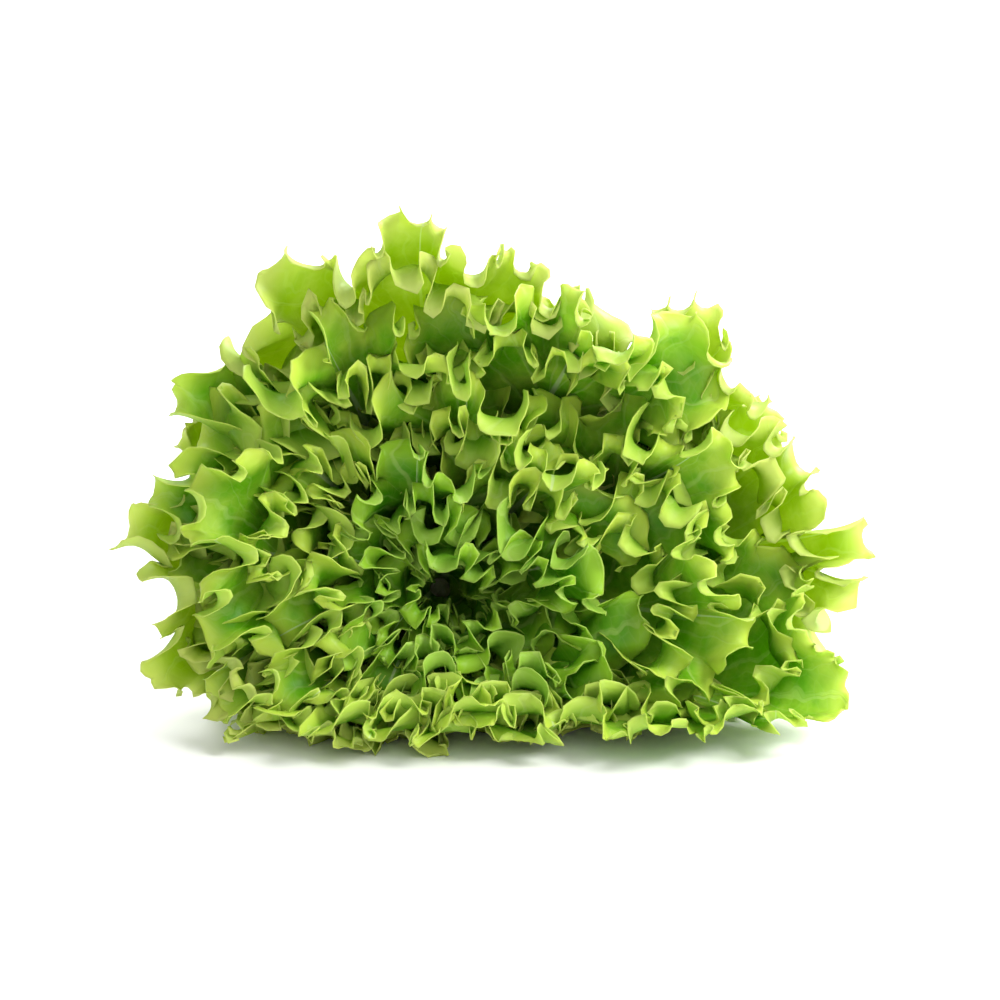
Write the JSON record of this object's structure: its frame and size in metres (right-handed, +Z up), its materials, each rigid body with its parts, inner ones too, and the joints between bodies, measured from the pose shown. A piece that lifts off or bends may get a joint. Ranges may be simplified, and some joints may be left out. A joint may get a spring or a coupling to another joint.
{
  "type": "batavia lettuce",
  "caption": "Whole cut head of curly lettuce lying on its side, its frilled leaves nested round a short stem",
  "frame": {"origin": "under the middle of the head on the plane it rests on", "axes": "+X to the right across the head, -Y towards the crown at the front, +Z up"},
  "size_m": [0.3048, 0.187, 0.2106],
  "materials": {
    "leaf": "fresh leaf, slightly waxy",
    "heart_leaf": "fresh young leaf",
    "stem": "moist cut stem"
  },
  "bodies": {
    "root": {"leaf_01": "leaf", "leaf_02": "leaf", "leaf_03": "leaf", "leaf_04": "leaf", "leaf_05": "leaf", "leaf_06": "leaf", "leaf_07": "leaf", "leaf_08": "leaf", "leaf_09": "leaf", "leaf_10": "leaf", "leaf_11": "leaf", "leaf_12": "leaf", "leaf_13": "leaf", "leaf_14": "leaf", "leaf_15": "leaf", "leaf_16": "leaf", "leaf_17": "leaf", "leaf_18": "leaf", "leaf_19": "leaf", "leaf_20": "leaf", "leaf_21": "leaf", "leaf_22": "leaf", "leaf_23": "leaf", "leaf_24": "leaf", "heart": "heart_leaf", "stem": "stem"}
  },
  "joints": []
}
